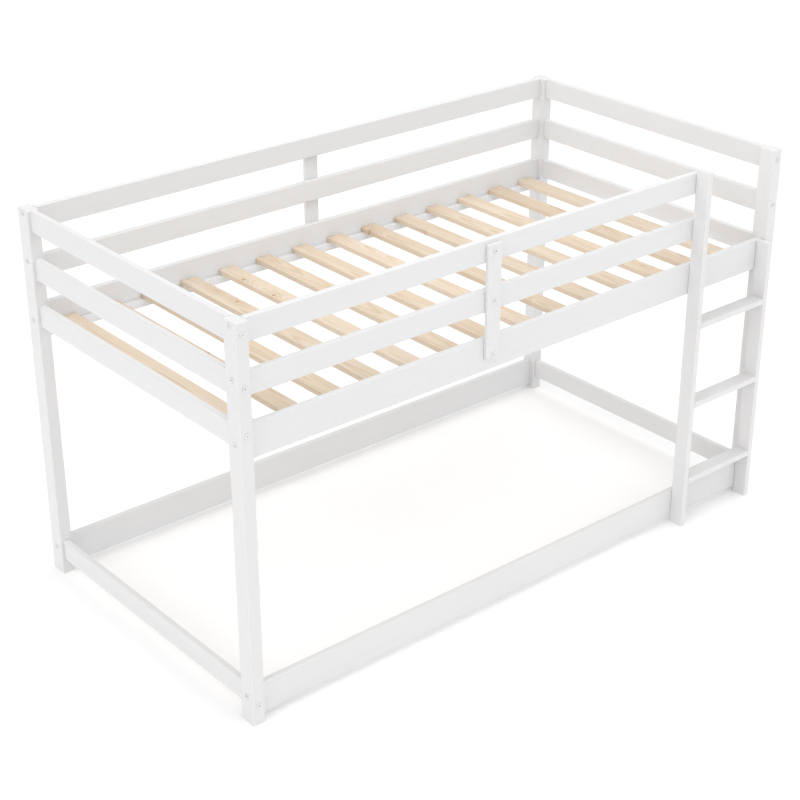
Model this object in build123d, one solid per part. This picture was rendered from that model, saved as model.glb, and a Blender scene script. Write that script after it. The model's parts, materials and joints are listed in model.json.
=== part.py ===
from build123d import *
import os
from typing import NamedTuple

# Low white bunk bed with a slatted upper deck and a ladder at the right end of its front.
# Millimetres. +X runs along the bed, +Y to its rear, +Z up.
# The origin is on the floor, in the middle of the whole footprint, ladder included.

# ---- driving dimensions ----
bed_length = 2030.0  # over the corner posts
bed_width = 1052.0  # over the corner posts
post_height = 1180.0
post_along = 38.0  # post section along the bed
post_across = 54.0  # post section across the bed
board_thickness = 18.0  # every rail, stile and rung
edge_radius = 2.5  # sanded long edges of the boards
post_top_radius = 3.0

stile_depth = 50.0  # front to back
left_stile_height = 1190.0
stile_gap = 4.0  # between the right stile and the corner post
ladder_clear_width = 292.0  # between the stiles
rung_tops = {"lower": 168.0, "middle": 438.0, "upper": 708.0}

batten_width = 50.0
batten_thickness = 12.0
batten_bottom = 834.0
batten_top = 1167.0

slat_count = 14
slat_width = 58.0
slat_thickness = 16.5
slat_pitch = 140.3
slat_top = 834.0
slat_edge_radius = 2.0
slat_end_gap = 1.0
cleat_depth = 18.0
cleat_end_gap = 0.5

# ---- fasteners ----
bolt_radius = 3.0
bolt_hole_radius = 3.25
bolt_head_radius = 7.5
bolt_head_thickness = 2.0
bolt_head_edge = 0.8
bolt_socket_flats = 4.0
bolt_socket_depth = 3.5
bolt_tip_chamfer = 0.6
bolt_past_nut = 8.0
bolt_hole_past_tip = 4.0
nut_from_rail_end = 35.0
nut_radius = 5.0
nut_length = 14.0
nut_thread_radius = 3.1
nut_slot_width = 1.2
nut_slot_depth = 1.5
dowel_radius = 4.0
dowel_hole_radius = 4.05
dowel_length = 30.0
dowel_in_post = 12.0
dowel_in_stile = 10.0
dowel_chamfer = 1.0
dowel_hole_clearance = 0.5
insert_radius = 4.5
insert_length = 12.0
insert_hole_past_tip = 2.0
screw_radius = 2.0
screw_head_radius = 4.2
screw_head_depth = 2.6
screw_recess_width = 0.9
screw_recess_length = 4.4
screw_recess_depth = 1.3
slat_screw_length = 35.0
cleat_screw_length = 30.0
ladder_screw_length = 45.0
# Heights of the ladder screws in each rail, clear of the post bolts, the dowels and the slats.
ladder_screw_heights = {"floor": (48, 75), "deck": (858,), "middle": (989, 1017), "top": (1133, 1161)}
rung_dowel_spread = 13.0  # each of a pair of rung dowels is this far from the rung's middle


class RailLevel(NamedTuple):
    """Heights of one ring of rails, with its bolts and dowels, all above the floor."""
    side: tuple  # bottom and top of the long rails
    side_bolt: float
    side_dowels: tuple
    end: tuple  # bottom and top of the short rails
    end_bolt: float
    end_dowels: tuple


# Bolts from the two directions cross inside a post, so they sit at different heights.
levels = {
    "floor": RailLevel((16, 114), 87, (35, 62), (48, 114), 62, (82, 102)),
    "deck": RailLevel((794, 892), 843, (813, 873), (826, 892), 873, (838, 857)),
    "middle": RailLevel((970, 1036), 1023, (983, 1003), (970, 1036), 1003, (981, 1025)),
    "top": RailLevel((1114, 1180), 1167, (1127, 1147), (1114, 1180), 1147, (1125, 1169)),
}

# ---- places worked out from the driving dimensions ----
ladder_projection = stile_depth - board_thickness  # how far the ladder stands in front of the posts
overall_depth = ladder_projection + bed_width + bolt_head_thickness
left = -bed_length / 2
right = bed_length / 2
front = -overall_depth / 2 + ladder_projection
rear = front + bed_width

side_recess = (post_across - board_thickness) / 2  # post face to long rail
end_recess = (post_along - board_thickness) / 2  # post face to short rail
front_rail = (front + side_recess, front + side_recess + board_thickness)
rear_rail = (rear - side_recess - board_thickness, rear - side_recess)
left_rail = (left + end_recess, left + end_recess + board_thickness)
right_rail = (right - end_recess - board_thickness, right - end_recess)
between_posts_x = (left + post_along, right - post_along)
between_posts_y = (front + post_across, rear - post_across)

right_stile_x = (right - post_along - stile_gap - board_thickness, right - post_along - stile_gap)
left_stile_x = (
    right_stile_x[0] - ladder_clear_width - board_thickness,
    right_stile_x[0] - ladder_clear_width,
)
stile_y = (front_rail[0] - stile_depth, front_rail[0])

front_batten_x = (between_posts_x[0] + left_stile_x[0]) / 2  # midway from the corner post to the ladder
rear_batten_x = 0.0

slat_bottom = slat_top - slat_thickness
slat_span_y = (front_rail[1] + slat_end_gap, rear_rail[0] - slat_end_gap)
slat_centres = [(number - (slat_count - 1) / 2) * slat_pitch for number in range(slat_count)]
cleat_z = (levels["deck"].side[0], slat_bottom)

along_x = Vector(1, 0, 0)
along_y = Vector(0, 1, 0)
upward = Vector(0, 0, 1)


def middle(span):
    return (span[0] + span[1]) / 2


def board(span_x, span_y, span_z, grain, radius=edge_radius):
    """A square-ended board with its four long edges rounded."""
    spans = (span_x, span_y, span_z)
    block = Box(*[high - low for low, high in spans])
    block = Pos(*[middle(span) for span in spans]) * block
    return fillet(block.edges().filter_by(grain), radius)


def rod(radius, length):
    return Cylinder(radius, length, align=(Align.CENTER, Align.CENTER, Align.MIN))


def aimed(shape, start, direction, turned_to=None):
    """The shape, modelled along +Z from the origin, moved to a start point and direction."""
    return Plane(origin=start, x_dir=turned_to, z_dir=direction).location * shape


# ---- fasteners, each modelled along +Z with its head at the origin ----
def connector_bolt(length):
    head = Pos(0, 0, -bolt_head_thickness) * rod(bolt_head_radius, bolt_head_thickness)
    head = fillet(head.faces().sort_by(Axis.Z)[0].edges(), bolt_head_edge)
    shank = rod(bolt_radius, length)
    shank = chamfer(shank.faces().sort_by(Axis.Z)[-1].edges(), bolt_tip_chamfer)
    hexagon = RegularPolygon(bolt_socket_flats / 2, 6, major_radius=False)
    socket = Pos(0, 0, -bolt_head_thickness) * extrude(hexagon, bolt_socket_depth)
    return head + shank - socket


def barrel_nut():
    """A cross dowel nut: its axis is +Z and its thread runs along X through the middle."""
    body = Pos(0, 0, -nut_length / 2) * rod(nut_radius, nut_length)
    thread = Rot(0, 90, 0) * Cylinder(nut_thread_radius, 3 * nut_radius)
    slot = Box(2 * nut_radius, nut_slot_width, 2 * nut_slot_depth)
    return body - thread - Pos(0, 0, nut_length / 2) * slot


def insert_nut():
    return rod(insert_radius, insert_length) - rod(nut_thread_radius, insert_length)


def dowel():
    return chamfer(rod(dowel_radius, dowel_length).edges().filter_by(GeomType.CIRCLE), dowel_chamfer)


def screw_blank(length):
    """The space that a countersunk wood screw fills."""
    head = Cone(
        screw_head_radius, screw_radius, screw_head_depth, align=(Align.CENTER, Align.CENTER, Align.MIN)
    )
    return head + rod(screw_radius, length)


def wood_screw(length):
    bar = Box(screw_recess_length, screw_recess_width, 2 * screw_recess_depth)
    return screw_blank(length) - bar - Rot(0, 0, 90) * bar


# ---- the joints: every fastener is placed once, and its hole is cut where it goes ----
holes = []
side_rail_bolts = []
end_rail_bolts = []
barrel_nuts = []
wood_dowels = []
batten_bolts = []
batten_insert_nuts = []
slat_screws = []
cleat_screws = []
ladder_screws = []


def add_dowel(surface, direction, depth_before):
    """A dowel across the joint at the surface, with depth_before of it on the near side."""
    start = surface - direction * depth_before
    wood_dowels.append(aimed(dowel(), start, direction))
    hole = rod(dowel_hole_radius, dowel_length + 2 * dowel_hole_clearance)
    holes.append(aimed(hole, start - direction * dowel_hole_clearance, direction))


def add_screw(group, length, start, direction):
    group.append(aimed(wood_screw(length), start, direction))
    holes.append(aimed(screw_blank(length), start, direction))


def join_rail_to_post(bolts, face, direction, post_size, bolt_z, dowel_zs, nut_mouth):
    """Bolt and dowels through one post: face is the post's outer face on the rail's centre line."""
    bolt_start = face + upward * bolt_z
    nut_centre = bolt_start + direction * (post_size + nut_from_rail_end)
    bolt_length = post_size + nut_from_rail_end + bolt_past_nut
    bolts.append(aimed(connector_bolt(bolt_length), bolt_start, direction))
    holes.append(aimed(rod(bolt_hole_radius, bolt_length + bolt_hole_past_tip), bolt_start, direction))
    barrel_nuts.append(aimed(barrel_nut(), nut_centre, nut_mouth, direction))
    nut_hole_depth = (board_thickness + nut_length) / 2
    nut_hole_start = nut_centre + nut_mouth * (board_thickness / 2)
    holes.append(aimed(rod(nut_radius, nut_hole_depth), nut_hole_start, nut_mouth * -1))
    for dowel_z in dowel_zs:
        add_dowel(face + upward * dowel_z + direction * post_size, direction, dowel_in_post)


def join_side_rails():
    """Front and rear rails are alike and face the same way: their nuts all go in from the rear."""
    ends = ((left, along_x), (right, along_x * -1))
    sides = (("front", middle(front_rail)), ("rear", middle(rear_rail)))
    for level_name, level in levels.items():
        for side_name, rail_y in sides:
            for post_x, direction in ends:
                stops_at_ladder = side_name == "front" and level_name in ("middle", "top")
                if stops_at_ladder and post_x == right:
                    continue
                face = Vector(post_x, rail_y, 0)
                join_rail_to_post(
                    side_rail_bolts, face, direction, post_along, level.side_bolt, level.side_dowels, along_y
                )


def join_end_rails():
    """Left and right end rails are alike too: their nuts all go in from the right."""
    for level in levels.values():
        for rail_x in (middle(left_rail), middle(right_rail)):
            for post_y, direction in ((front, along_y), (rear, along_y * -1)):
                face = Vector(rail_x, post_y, 0)
                join_rail_to_post(
                    end_rail_bolts, face, direction, post_across, level.end_bolt, level.end_dowels, along_x
                )


def join_batten(batten_x, outer_y, direction):
    """Bolts through the batten into threaded inserts that stop inside the rails behind it."""
    bolt_length = batten_thickness + insert_length
    for level_name in ("deck", "middle", "top"):
        start = Vector(batten_x, outer_y, middle(levels[level_name].side))
        batten_bolts.append(aimed(connector_bolt(bolt_length), start, direction))
        holes.append(aimed(rod(bolt_hole_radius, bolt_length + insert_hole_past_tip), start, direction))
        rail_face = start + direction * batten_thickness
        batten_insert_nuts.append(aimed(insert_nut(), rail_face, direction))
        holes.append(aimed(rod(insert_radius, insert_length), rail_face, direction))


def join_ladder():
    for stile_x, level_names in (
        (middle(left_stile_x), ("floor", "deck", "middle", "top")),
        (middle(right_stile_x), ("floor", "deck")),
    ):
        for level_name in level_names:
            for height in ladder_screw_heights[level_name]:
                start = Vector(stile_x, front_rail[1], height)
                add_screw(ladder_screws, ladder_screw_length, start, along_y * -1)
    for rung_top in rung_tops.values():
        rung_middle = rung_top - board_thickness / 2
        for surface_x, direction in ((left_stile_x[1], along_x), (right_stile_x[0], along_x * -1)):
            for offset in (-rung_dowel_spread, rung_dowel_spread):
                surface = Vector(surface_x, middle(stile_y) + offset, rung_middle)
                add_dowel(surface, direction, dowel_in_stile)


def join_slats():
    """A screw down through each slat end, and cleat screws in every other gap between slats."""
    cleats = (
        (front_rail[1] + cleat_depth, along_y * -1),
        (rear_rail[0] - cleat_depth, along_y),
    )
    for cleat_face, into_rail in cleats:
        for slat_x in slat_centres:
            start = Vector(slat_x, cleat_face, slat_top) + into_rail * (cleat_depth / 2)
            add_screw(slat_screws, slat_screw_length, start, upward * -1)
        for slat_x in slat_centres[::2]:
            start = Vector(slat_x + slat_pitch / 2, cleat_face, middle(cleat_z))
            add_screw(cleat_screws, cleat_screw_length, start, into_rail)


# ---- wooden pieces, before drilling ----
def post(outer_x, outer_y):
    """A corner post: outer_x and outer_y are the signs of the corner it stands at."""
    span_x = (left, left + post_along) if outer_x < 0 else (right - post_along, right)
    span_y = (front, front + post_across) if outer_y < 0 else (rear - post_across, rear)
    shape = board(span_x, span_y, (0, post_height), Axis.Z)
    return fillet(shape.faces().sort_by(Axis.Z)[-1].edges(), post_top_radius)


def corner_posts():
    return {
        "post_front_left": post(-1, -1),
        "post_front_right": post(1, -1),
        "post_rear_left": post(-1, 1),
        "post_rear_right": post(1, 1),
    }


def side_rails():
    rails = {}
    rail_names = {"floor": "floor_rail", "deck": "deck_rail", "middle": "middle_guard", "top": "top_guard"}
    for level_name, rail_name in rail_names.items():
        height = levels[level_name].side
        guard_at_ladder = level_name in ("middle", "top")
        front_end = left_stile_x[1] if guard_at_ladder else between_posts_x[1]
        front_span = (between_posts_x[0], front_end)
        rails[f"front_{rail_name}"] = board(front_span, front_rail, height, Axis.X)
        rails[f"rear_{rail_name}"] = board(between_posts_x, rear_rail, height, Axis.X)
    return rails


def end_rails():
    rails = {}
    for level_name, level in levels.items():
        rails[f"left_end_{level_name}_rail"] = board(left_rail, between_posts_y, level.end, Axis.Y)
        rails[f"right_end_{level_name}_rail"] = board(right_rail, between_posts_y, level.end, Axis.Y)
    return rails


def ladder():
    pieces = {
        "ladder_stile_left": board(left_stile_x, stile_y, (0, left_stile_height), Axis.Z),
        "ladder_stile_right": board(right_stile_x, stile_y, (0, levels["deck"].side[1]), Axis.Z),
    }
    rung_x = (left_stile_x[1], right_stile_x[0])
    for rung_name, rung_top in rung_tops.items():
        rung_z = (rung_top - board_thickness, rung_top)
        pieces[f"ladder_rung_{rung_name}"] = board(rung_x, stile_y, rung_z, Axis.X)
    return pieces


def battens():
    height = (batten_bottom, batten_top)
    half = batten_width / 2
    front_x = (front_batten_x - half, front_batten_x + half)
    rear_x = (rear_batten_x - half, rear_batten_x + half)
    front_y = (front_rail[0] - batten_thickness, front_rail[0])
    rear_y = (rear_rail[1], rear_rail[1] + batten_thickness)
    return {
        "front_batten": board(front_x, front_y, height, Axis.Z),
        "rear_batten": board(rear_x, rear_y, height, Axis.Z),
    }


def slat_deck():
    cleat_x = (between_posts_x[0] + cleat_end_gap, between_posts_x[1] - cleat_end_gap)
    front_cleat_y = (front_rail[1], front_rail[1] + cleat_depth)
    rear_cleat_y = (rear_rail[0] - cleat_depth, rear_rail[0])
    pieces = {
        "slat_cleat_front": board(cleat_x, front_cleat_y, cleat_z, Axis.X, slat_edge_radius),
        "slat_cleat_rear": board(cleat_x, rear_cleat_y, cleat_z, Axis.X, slat_edge_radius),
    }
    slat_z = (slat_bottom, slat_top)
    for number, centre in enumerate(slat_centres, start=1):
        slat_x = (centre - slat_width / 2, centre + slat_width / 2)
        pieces[f"slat_{number:02d}"] = board(slat_x, slat_span_y, slat_z, Axis.Y, slat_edge_radius)
    return pieces


def boxes_touch(first, second):
    return all(
        first_low < second_high and second_low < first_high
        for first_low, first_high, second_low, second_high in zip(
            first.min, first.max, second.min, second.max
        )
    )


def drilled(piece, hole_boxes):
    """The piece with every hole that reaches it cut out."""
    piece_box = piece.bounding_box()
    reaching = [hole for hole, hole_box in hole_boxes if boxes_touch(piece_box, hole_box)]
    return piece - reaching


join_side_rails()
join_end_rails()
join_batten(front_batten_x, front_rail[0] - batten_thickness, along_y)
join_batten(rear_batten_x, rear_rail[1] + batten_thickness, along_y * -1)
join_ladder()
join_slats()

wooden_pieces = corner_posts() | side_rails() | end_rails() | ladder() | battens() | slat_deck()
fastener_groups = {
    "side_rail_bolts": side_rail_bolts,
    "end_rail_bolts": end_rail_bolts,
    "barrel_nuts": barrel_nuts,
    "wood_dowels": wood_dowels,
    "batten_bolts": batten_bolts,
    "batten_insert_nuts": batten_insert_nuts,
    "slat_screws": slat_screws,
    "cleat_screws": cleat_screws,
    "ladder_screws": ladder_screws,
}

hole_boxes = [(hole, hole.bounding_box()) for hole in holes]
os.makedirs("parts", exist_ok=True)
for name, piece in wooden_pieces.items():
    export_step(drilled(piece, hole_boxes), f"parts/{name}.step")
for name, group in fastener_groups.items():
    solids = [solid for fastener in group for solid in fastener.solids()]
    export_step(Compound(solids), f"parts/{name}.step")
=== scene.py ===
import json
import math
import random

import bpy
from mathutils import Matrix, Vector


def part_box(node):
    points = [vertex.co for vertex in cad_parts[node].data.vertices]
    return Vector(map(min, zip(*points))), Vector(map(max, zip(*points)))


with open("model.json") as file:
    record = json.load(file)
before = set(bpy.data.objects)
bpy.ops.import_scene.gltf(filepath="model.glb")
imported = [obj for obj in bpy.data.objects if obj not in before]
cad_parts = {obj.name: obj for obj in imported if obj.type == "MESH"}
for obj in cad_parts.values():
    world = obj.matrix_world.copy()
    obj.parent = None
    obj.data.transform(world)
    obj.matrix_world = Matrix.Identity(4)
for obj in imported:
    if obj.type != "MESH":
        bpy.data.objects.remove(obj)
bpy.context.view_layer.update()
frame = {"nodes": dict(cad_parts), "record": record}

# A white-painted pine bunk bed with natural pine slats and nickel-plated bolts.
# Metres, in the frame's own axes: +X along the bed, +Y to its rear, +Z up.

nodes = frame["nodes"]
slots = {part["node"]: part["material_slot"] for part in frame["record"]["subparts"]}
millimetre = 0.001
random.seed(20)


def place_camera():
    """The photograph's view: from the front left, looking down on the slatted deck."""
    standpoint = (-3.1429, -3.6592, 2.8731)
    focal_length = 78.42  # millimetres
    tilt_down = math.radians(26.62)
    turn_right = math.radians(39.995)
    lean = math.radians(0.06)
    data = bpy.data.cameras.new("camera")
    data.lens = focal_length
    data.clip_end = 100.0
    camera = bpy.data.objects.new("camera", data)
    camera.location = standpoint
    camera.rotation_euler = (math.pi / 2 - tilt_down, lean, -turn_right)
    bpy.context.scene.collection.objects.link(camera)
    bpy.context.scene.camera = camera


place_camera()


class Graph:
    """A node material being built round its Principled shader."""

    def __init__(self, name):
        self.material = bpy.data.materials.new(name)
        self.material.use_nodes = True
        self.tree = self.material.node_tree
        self.shader = self.tree.nodes["Principled BSDF"]

    def feed(self, socket, value):
        if isinstance(value, bpy.types.NodeSocket):
            self.tree.links.new(value, socket)
        else:
            socket.default_value = value

    def node(self, kind, inputs, output=0, **settings):
        made = self.tree.nodes.new("ShaderNode" + kind)
        for setting, value in settings.items():
            setattr(made, setting, value)
        for socket, value in inputs.items():
            self.feed(made.inputs[socket], value)
        return made.outputs[output]

    def maths(self, operation, *values, clamp=False):
        return self.node("Math", dict(enumerate(values)), operation=operation, use_clamp=clamp)

    def vector(self, operation, *values):
        return self.node("VectorMath", dict(enumerate(values)), operation=operation)

    def step(self, value, start, end, to_start=0.0, to_end=1.0):
        """A smooth change from to_start to to_end as the value goes from start to end."""
        inputs = {"Value": value, "From Min": start, "From Max": end, "To Min": to_start, "To Max": to_end}
        return self.node("MapRange", inputs, interpolation_type="SMOOTHSTEP")

    def blend(self, share, first, second):
        inputs = {0: share, 6: first, 7: second}
        return self.node("Mix", inputs, output=2, data_type="RGBA")

    def noise(self, place, stretch, detail=2.0, offset=0.0):
        """Smooth noise around 0.5, with features of about 1/stretch metres along each axis."""
        moved = self.vector("MULTIPLY", place, stretch)
        shifted = self.vector("ADD", moved, (offset, offset, offset))
        return self.node("TexNoise", {"Vector": shifted, "Scale": 1.0, "Detail": detail})

    def finish(self, colour, roughness, height, **constants):
        """Height is in millimetres."""
        bump = self.node("Bump", {"Height": height, "Distance": millimetre, "Strength": 1.0})
        self.feed(self.shader.inputs["Base Color"], colour)
        self.feed(self.shader.inputs["Roughness"], roughness)
        self.feed(self.shader.inputs["Normal"], bump)
        for socket, value in constants.items():
            self.shader.inputs[socket.replace("_", " ")].default_value = value
        return self.material


class Timber:
    """The growth rings, knots and edges of one board, as nodes in a graph.

    The board's own axes are across its wide side, across its thin side and along its grain.
    Its rings are centred on a pith that lies outside the board and leans a little from its length,
    which gives the arches of a plain-sawn face and the arcs of its end grain.
    """

    ring_spacing = (2.4 * millimetre, 3.8 * millimetre)
    pith_depth = (25 * millimetre, 95 * millimetre)
    pith_shift = (-22 * millimetre, 22 * millimetre)
    pith_lean = (0.004, 0.022)
    knot_cells_per_metre = 6.5
    cells_without_knot = 0.58  # as a share of all cells
    knot_radius = (2.5 * millimetre, 8.0 * millimetre)

    def __init__(self, graph, node_name):
        low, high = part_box(node_name)
        size = high - low
        self.graph = graph
        self.seed = random.uniform(0, 100)
        order = sorted(range(3), key=lambda axis: size[axis])
        thin_axis, wide_axis, along_axis = order
        self.half = [size[axis] / 2 for axis in (wide_axis, thin_axis, along_axis)]
        place = graph.node("TexCoord", {}, output="Object")
        centred = graph.vector("SUBTRACT", place, tuple((low + high) / 2))
        split = graph.tree.nodes.new("ShaderNodeSeparateXYZ")
        graph.feed(split.inputs[0], centred)
        self.parts = [split.outputs[axis] for axis in (wide_axis, thin_axis, along_axis)]
        self.place = graph.node("CombineXYZ", dict(enumerate(self.parts)))
        self.find_knots()
        self.find_rings()

    def find_knots(self):
        """Knots go straight through the board, one in some cells of a scattered grid."""
        graph = self.graph
        cells = self.knot_cells_per_metre
        wide, _, along = self.parts
        flat = graph.node("CombineXYZ", {0: wide, 1: along})
        scaled = graph.vector("MULTIPLY", flat, (cells, cells, 0.0))
        place = graph.vector("ADD", scaled, (self.seed, self.seed / 2, 0.0))
        grid = graph.tree.nodes.new("ShaderNodeTexVoronoi")
        grid.voronoi_dimensions = "2D"
        grid.inputs["Scale"].default_value = 1.0
        graph.feed(grid.inputs["Vector"], place)
        chance = graph.node("SeparateColor", {0: grid.outputs["Color"]}, output=0)
        sizing = graph.node("SeparateColor", {0: grid.outputs["Color"]}, output=1)
        present = graph.maths("GREATER_THAN", chance, self.cells_without_knot)
        distance = graph.maths("DIVIDE", grid.outputs["Distance"], cells)
        radius = graph.step(sizing, 0.0, 1.0, *self.knot_radius)
        ratio = graph.maths("DIVIDE", distance, radius)
        self.knot = graph.maths("MULTIPLY", graph.step(ratio, 1.12, 0.9), present)
        rim = graph.maths("MULTIPLY", graph.step(ratio, 0.6, 1.0), graph.step(ratio, 1.35, 1.0))
        self.knot_rim = graph.maths("MULTIPLY", rim, present)
        away = graph.vector("SUBTRACT", place, grid.outputs["Position"])
        flattened = graph.vector("MULTIPLY", away, (1.0 / cells, 0.34 / cells, 0.0))
        reach = graph.node("VectorMath", {0: flattened}, output="Value", operation="LENGTH")
        self.flow = graph.maths("MULTIPLY", graph.step(reach, 0.030, 0.002), present)

    def find_rings(self):
        graph = self.graph
        wide, thin, along = self.parts
        depth = random.uniform(*self.pith_depth)
        shift = random.uniform(*self.pith_shift)
        lean = random.uniform(*self.pith_lean) * random.choice((-1, 1))
        face_up = random.choice((-1, 1))
        spacing = random.uniform(*self.ring_spacing)
        bend = graph.noise(self.place, (4.0, 4.0, 1.1), detail=1.0, offset=self.seed)
        waver = graph.noise(self.place, (70.0, 70.0, 5.0), offset=self.seed)
        leaned = graph.maths("MULTIPLY_ADD", along, lean, depth * face_up)
        from_pith_wide = graph.maths("ADD", wide, shift)
        from_pith_thin = graph.maths("ADD", thin, leaned)
        flat = graph.node("CombineXYZ", {0: from_pith_wide, 1: from_pith_thin})
        radius = graph.node("VectorMath", {0: flat}, output="Value", operation="LENGTH")
        for value, reach in ((bend, 22 * millimetre), (waver, 1.6 * millimetre), (self.flow, 9 * millimetre)):
            radius = graph.maths("MULTIPLY_ADD", value, reach, radius)
        phase = graph.maths("FRACT", graph.maths("DIVIDE", radius, spacing))
        self.latewood = graph.maths("MULTIPLY", graph.step(phase, 0.35, 0.88), graph.step(phase, 1.0, 0.92))
        self.fibre = graph.noise(self.place, (1100.0, 1100.0, 16.0), offset=self.seed)
        self.streak = graph.noise(self.place, (260.0, 260.0, 3.0), offset=self.seed)
        self.cloud = graph.noise(self.place, (11.0, 11.0, 2.2), detail=3.0, offset=self.seed)

    def edges(self, width):
        """1 along the rounded long edges and round the ends, and 0 on the faces."""
        graph = self.graph
        near = []
        for part, half in zip(self.parts, self.half):
            size = graph.maths("ABSOLUTE", part)
            near.append(graph.step(size, half - width, half - width / 4))
        wide, thin, along = near
        long_edges = graph.maths("MULTIPLY", wide, thin)
        end_edges = graph.maths("MULTIPLY", graph.maths("MAXIMUM", wide, thin), along)
        return graph.maths("MAXIMUM", long_edges, end_edges)


def natural_pine(node_name):
    """Planed, unfinished pine: honey-coloured rings, silky fibres, small brown knots."""
    graph = Graph("natural_pine_" + node_name)
    timber = Timber(graph, node_name)
    tone = random.uniform(-0.035, 0.03)
    warmth = random.uniform(-0.02, 0.02)
    early = (0.675 + tone, 0.576 + tone - warmth / 2, 0.460 + tone - warmth, 1.0)
    late = (0.56 + tone, 0.415 + tone, 0.275 + tone, 1.0)
    rosy = (0.63 + tone, 0.495 + tone, 0.372 + tone, 1.0)
    knot_heart = (0.46, 0.300, 0.180, 1.0)
    knot_bark = (0.33, 0.190, 0.100, 1.0)
    sanded = (0.72, 0.63, 0.52, 1.0)
    colour = graph.blend(graph.maths("MULTIPLY", timber.latewood, 0.62), early, late)
    colour = graph.blend(graph.step(timber.cloud, 0.45, 0.85, 0.0, 0.55), colour, rosy)
    colour = graph.blend(graph.step(timber.fibre, 0.52, 0.85, 0.0, 0.35), colour, late)
    colour = graph.blend(graph.step(timber.streak, 0.60, 0.85, 0.0, 0.35), colour, late)
    colour = graph.blend(graph.maths("MULTIPLY", timber.flow, 0.45), colour, late)
    colour = graph.blend(timber.knot, colour, knot_heart)
    colour = graph.blend(graph.maths("MULTIPLY", timber.knot_rim, 0.8), colour, knot_bark)
    colour = graph.blend(graph.maths("MULTIPLY", timber.edges(3 * millimetre), 0.25), colour, sanded)
    rough = graph.maths("MULTIPLY_ADD", timber.latewood, -0.12, 0.62)
    rough = graph.maths("MULTIPLY_ADD", timber.fibre, 0.14, rough)
    height = graph.maths("MULTIPLY", timber.latewood, 0.06)
    height = graph.maths("MULTIPLY_ADD", timber.fibre, 0.09, height)
    height = graph.maths("MULTIPLY_ADD", timber.knot, 0.05, height)
    height = graph.maths("MULTIPLY_ADD", timber.knot_rim, -0.14, height)
    return graph.finish(colour, rough, height, Specular_IOR_Level=0.35)


def painted_pine(node_name):
    """Satin white paint: the grain just shows through, with brush marks and thinner paint on the edges."""
    graph = Graph("painted_pine_" + node_name)
    timber = Timber(graph, node_name)
    tone = random.uniform(-0.008, 0.008)
    white = (0.692 + tone, 0.692 + tone, 0.696 + tone, 1.0)
    grain_white = (0.660, 0.656, 0.652, 1.0)
    soft_grey = (0.665, 0.666, 0.672, 1.0)
    knot_stain = (0.660, 0.631, 0.577, 1.0)
    thin_paint = (0.660, 0.643, 0.608, 1.0)
    brush = graph.noise(timber.place, (420.0, 420.0, 9.0), detail=3.0, offset=timber.seed + 5)
    stipple = graph.noise(timber.place, (1300.0, 1300.0, 1300.0), detail=1.0, offset=timber.seed)
    break_up = graph.noise(timber.place, (90.0, 90.0, 40.0), detail=3.0, offset=timber.seed + 9)
    colour = graph.blend(graph.maths("MULTIPLY", timber.latewood, 0.30), white, grain_white)
    colour = graph.blend(graph.step(timber.cloud, 0.40, 0.80, 0.0, 0.45), colour, soft_grey)
    colour = graph.blend(graph.step(brush, 0.52, 0.80, 0.0, 0.30), colour, soft_grey)
    colour = graph.blend(graph.maths("MULTIPLY", timber.knot, 0.22), colour, knot_stain)
    colour = graph.blend(graph.maths("MULTIPLY", timber.knot_rim, 0.16), colour, knot_stain)
    patches = graph.step(break_up, 0.40, 0.70, 0.10, 0.60)
    worn = graph.maths("MULTIPLY", timber.edges(3.2 * millimetre), patches)
    colour = graph.blend(worn, colour, thin_paint)
    rough = graph.maths("MULTIPLY_ADD", brush, 0.16, 0.34)
    rough = graph.maths("MULTIPLY_ADD", timber.cloud, 0.08, rough)
    height = graph.maths("MULTIPLY", timber.latewood, 0.045)
    height = graph.maths("MULTIPLY_ADD", brush, 0.075, height)
    height = graph.maths("MULTIPLY_ADD", stipple, 0.012, height)
    height = graph.maths("MULTIPLY_ADD", timber.knot_rim, -0.06, height)
    return graph.finish(colour, rough, height, Specular_IOR_Level=0.45)


def beech(node_name):
    """Turned beech dowel rod: pale, with short dark flecks."""
    graph = Graph("beech_" + node_name)
    place = graph.node("TexCoord", {}, output="Object")
    cloud = graph.noise(place, (60.0, 60.0, 60.0), detail=3.0)
    fleck = graph.noise(place, (900.0, 900.0, 900.0), detail=1.0)
    colour = graph.blend(graph.step(cloud, 0.35, 0.7), (0.66, 0.46, 0.29, 1.0), (0.58, 0.38, 0.22, 1.0))
    colour = graph.blend(graph.step(fleck, 0.62, 0.75, 0.0, 0.7), colour, (0.36, 0.20, 0.10, 1.0))
    rough = graph.step(cloud, 0.3, 0.7, 0.5, 0.66)
    return graph.finish(colour, rough, graph.maths("MULTIPLY", fleck, 0.03))


def plated_steel(node_name, bright, dull, roughness):
    """Plated steel: fine scratches, slightly cloudy plating."""
    graph = Graph("plated_steel_" + node_name)
    place = graph.node("TexCoord", {}, output="Object")
    cloud = graph.noise(place, (240.0, 240.0, 240.0), detail=3.0)
    scratch = graph.noise(place, (2600.0, 700.0, 5200.0), detail=3.0)
    colour = graph.blend(graph.step(cloud, 0.35, 0.70), bright, dull)
    colour = graph.blend(graph.step(scratch, 0.58, 0.80, 0.0, 0.5), colour, dull)
    rough = graph.maths("MULTIPLY_ADD", scratch, 0.16, roughness)
    rough = graph.maths("MULTIPLY_ADD", cloud, 0.06, rough)
    height = graph.maths("MULTIPLY", scratch, 0.012)
    return graph.finish(colour, rough, height, Metallic=1.0)


def nickel_steel(node_name):
    return plated_steel(node_name, (0.80, 0.79, 0.775, 1.0), (0.66, 0.65, 0.635, 1.0), 0.24)


def zinc_steel(node_name):
    return plated_steel(node_name, (0.80, 0.80, 0.80, 1.0), (0.68, 0.68, 0.68, 1.0), 0.30)


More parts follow.
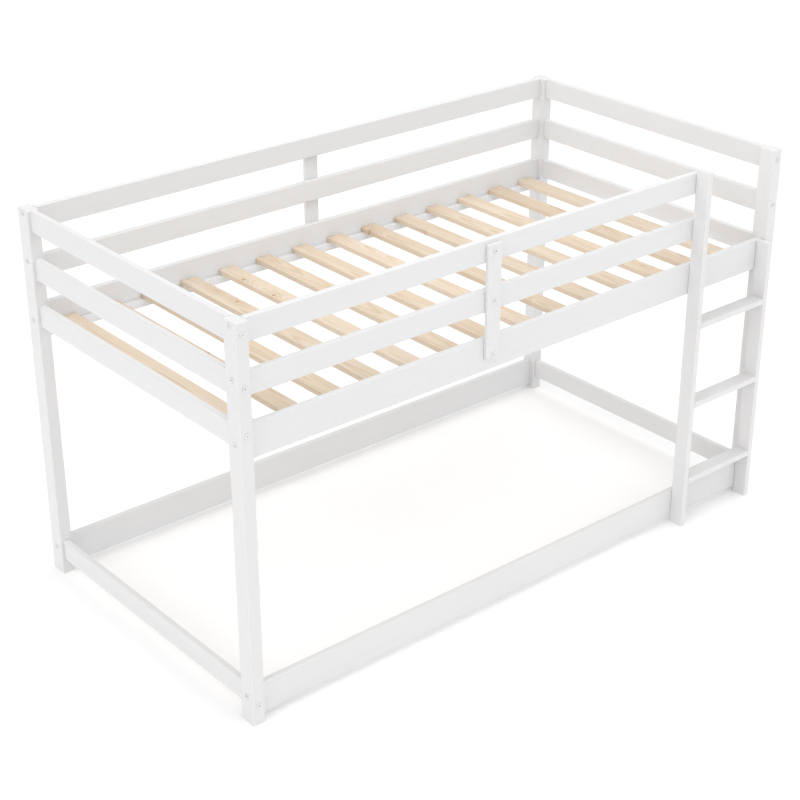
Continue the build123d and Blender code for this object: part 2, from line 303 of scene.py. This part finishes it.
finishes = {
    "painted_pine": painted_pine,
    "natural_pine": natural_pine,
    "nickel_steel": nickel_steel,
    "zinc_steel": zinc_steel,
    "beech": beech,
}


def finish_nodes():
    for node_name in sorted(nodes):
        material = finishes[slots[node_name]](node_name)
        for material_slot in nodes[node_name].material_slots:
            material_slot.material = material


finish_nodes()


# ---- floor and light ----
floor_half = 40.0
wide_light_angle = math.radians(60)
wide_lights = {  # name: the direction that the light comes from, and its strength
    "softbox_front_low": ((0.0, -1.0, 0.25), 0.35),
    "softbox_front_high": ((0.0, -1.0, 1.0), 0.62),
    "softbox_left_low": ((-1.0, 0.0, 0.25), 0.75),
    "softbox_left_high": ((-1.0, 0.0, 1.0), 0.54),
    "softbox_right": ((1.0, 0.0, 1.0), 0.74),
}


def lay_floor():
    mesh = bpy.data.meshes.new("floor")
    corners = [(x * floor_half, y * floor_half, 0.0) for x, y in ((-1, -1), (1, -1), (1, 1), (-1, 1))]
    mesh.from_pydata(corners, [], [(0, 1, 2, 3)])
    floor = bpy.data.objects.new("floor", mesh)
    bpy.context.scene.collection.objects.link(floor)
    graph = Graph("floor")
    place = graph.node("TexCoord", {}, output="Object")
    cloud = graph.noise(place, (1.3, 1.3, 1.3), detail=4.0)
    colour = graph.blend(cloud, (0.93, 0.93, 0.93, 1.0), (0.96, 0.96, 0.96, 1.0))
    rough = graph.step(cloud, 0.3, 0.7, 0.75, 0.9)
    floor.data.materials.append(graph.finish(colour, rough, graph.maths("MULTIPLY", cloud, 0.02)))


def add_wide_light(name, direction, strength):
    """A very broad, even light from one side: the softbox wall of a studio."""
    data = bpy.data.lights.new(name, "SUN")
    data.angle = wide_light_angle
    data.energy = strength
    light = bpy.data.objects.new(name, data)
    light.rotation_euler = Vector(direction).to_track_quat("Z", "Y").to_euler()
    bpy.context.scene.collection.objects.link(light)


def add_softbox_above(height, size, watts):
    """A square softbox over the middle of the bed, which lights the inner faces of the guard rails."""
    data = bpy.data.lights.new("softbox_above", "AREA")
    data.shape = "SQUARE"
    data.size = size
    data.energy = watts
    light = bpy.data.objects.new("softbox_above", data)
    light.location = (0.0, 0.0, height)
    bpy.context.scene.collection.objects.link(light)


def light_studio():
    world = bpy.data.worlds.new("studio")
    world.use_nodes = True
    background = world.node_tree.nodes["Background"]
    background.inputs["Color"].default_value = (0.995, 1.0, 1.01, 1.0)
    background.inputs["Strength"].default_value = 0.66
    bpy.context.scene.world = world
    bpy.context.scene.view_settings.view_transform = "Standard"
    for name, (direction, strength) in wide_lights.items():
        add_wide_light(name, direction, strength)
    add_softbox_above(height=3.0, size=2.2, watts=14.0)


lay_floor()
light_studio()
